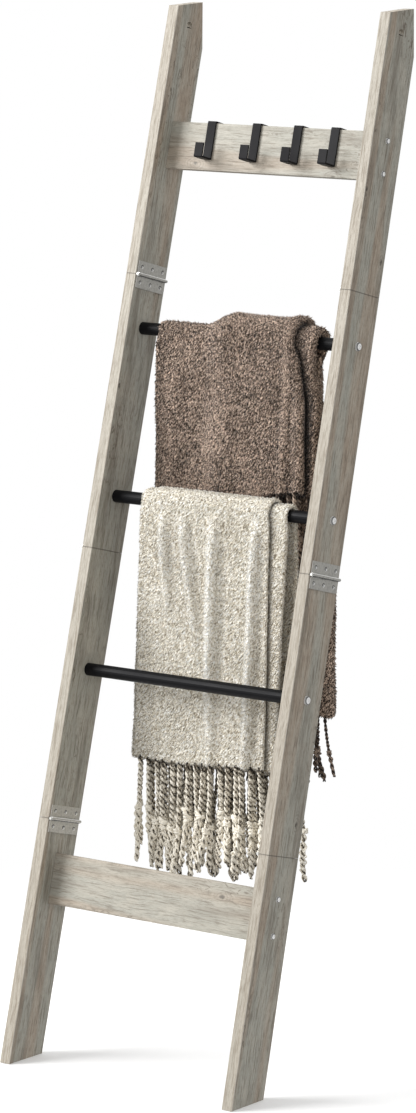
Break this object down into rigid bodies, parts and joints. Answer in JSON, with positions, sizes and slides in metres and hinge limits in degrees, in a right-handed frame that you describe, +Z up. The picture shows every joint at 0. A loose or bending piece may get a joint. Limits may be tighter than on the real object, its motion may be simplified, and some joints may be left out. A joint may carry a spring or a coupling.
{
  "type": "blanket ladder with throws",
  "caption": "Leaning blanket ladder of grey wood-effect board with round black rungs, hinged rails and over-board hooks, and fringed throws folded over its rungs.",
  "frame": {"origin": "on the floor, under the middle of the object's box", "axes": "+Z up, +X along the rungs to the right seen from the front, +Y back to the wall that it leans on"},
  "size_m": [0.5004, 0.5268, 1.7926],
  "materials": {
    "rail_board": "grey-washed wood-effect foil, satin, grain along the rail, small knots",
    "cross_board": "grey-washed wood-effect foil, satin, grain along the board",
    "black_tube": "black powder coat, fine texture, semi-matt",
    "black_flat_bar": "black powder coat, matt",
    "hinge_steel": "zinc-plated sheet steel, dull grey",
    "pin_steel": "bright turned steel",
    "bolt_steel": "bright nickel-plated steel, domed",
    "brown_cloth": "thick brushed plush, mixed light and dark brown hairs",
    "brown_fringe": "twisted brown yarn tassels",
    "cream_cloth": "soft boucle weave, cream with beige flecks, slanting ribs",
    "cream_fringe": "twisted and knotted cream yarn tassels"
  },
  "bodies": {
    "ladder": {"left_rail_foot": "rail_board", "left_rail_lower": "rail_board", "left_rail_upper": "rail_board", "left_rail_head": "rail_board", "right_rail_foot": "rail_board", "right_rail_lower": "rail_board", "right_rail_upper": "rail_board", "right_rail_head": "rail_board", "top_board": "cross_board", "bottom_board": "cross_board", "rung_top": "black_tube", "rung_middle": "black_tube", "rung_bottom": "black_tube", "left_rung_top_bolt": "bolt_steel", "left_rung_middle_bolt": "bolt_steel", "left_rung_bottom_bolt": "bolt_steel", "left_top_board_screw_1": "bolt_steel", "left_top_board_screw_2": "bolt_steel", "left_bottom_board_screw_1": "bolt_steel", "left_bottom_board_screw_2": "bolt_steel", "right_rung_top_bolt": "bolt_steel", "right_rung_middle_bolt": "bolt_steel", "right_rung_bottom_bolt": "bolt_steel", "right_top_board_screw_1": "bolt_steel", "right_top_board_screw_2": "bolt_steel", "right_bottom_board_screw_1": "bolt_steel", "right_bottom_board_screw_2": "bolt_steel", "left_lower_hinge_upper_leaf": "hinge_steel", "left_lower_hinge_lower_leaf": "hinge_steel", "left_lower_hinge_pin": "pin_steel", "left_middle_hinge_upper_leaf": "hinge_steel", "left_middle_hinge_lower_leaf": "hinge_steel", "left_middle_hinge_pin": "pin_steel", "left_upper_hinge_upper_leaf": "hinge_steel", "left_upper_hinge_lower_leaf": "hinge_steel", "left_upper_hinge_pin": "pin_steel", "right_lower_hinge_upper_leaf": "hinge_steel", "right_lower_hinge_lower_leaf": "hinge_steel", "right_lower_hinge_pin": "pin_steel", "right_middle_hinge_upper_leaf": "hinge_steel", "right_middle_hinge_lower_leaf": "hinge_steel", "right_middle_hinge_pin": "pin_steel", "right_upper_hinge_upper_leaf": "hinge_steel", "right_upper_hinge_lower_leaf": "hinge_steel", "right_upper_hinge_pin": "pin_steel"},
    "hook_1": {"hook_1": "black_flat_bar"},
    "hook_2": {"hook_2": "black_flat_bar"},
    "hook_3": {"hook_3": "black_flat_bar"},
    "hook_4": {"hook_4": "black_flat_bar"},
    "brown_throw": {"brown_throw": "brown_cloth", "brown_front_fringe": "brown_fringe", "brown_back_fringe": "brown_fringe"},
    "cream_throw": {"cream_throw": "cream_cloth", "cream_front_fringe": "cream_fringe", "cream_back_fringe": "cream_fringe"}
  },
  "joints": [
    {"name": "hook_1_slide", "type": "slide", "parent": "ladder", "child": "hook_1", "axis": [1, 0, 0], "range_m": [-0.07, 0.028]},
    {"name": "hook_2_slide", "type": "slide", "parent": "ladder", "child": "hook_2", "axis": [1, 0, 0], "range_m": [-0.028, 0.028]},
    {"name": "hook_3_slide", "type": "slide", "parent": "ladder", "child": "hook_3", "axis": [1, 0, 0], "range_m": [-0.028, 0.028]},
    {"name": "hook_4_slide", "type": "slide", "parent": "ladder", "child": "hook_4", "axis": [1, 0, 0], "range_m": [-0.028, 0.065]},
    {"name": "brown_throw_slide", "type": "slide", "parent": "ladder", "child": "brown_throw", "axis": [1, 0, 0], "range_m": [-0.035, 0.03]},
    {"name": "cream_throw_slide", "type": "slide", "parent": "ladder", "child": "cream_throw", "axis": [1, 0, 0], "range_m": [-0.05, 0.05]}
  ]
}
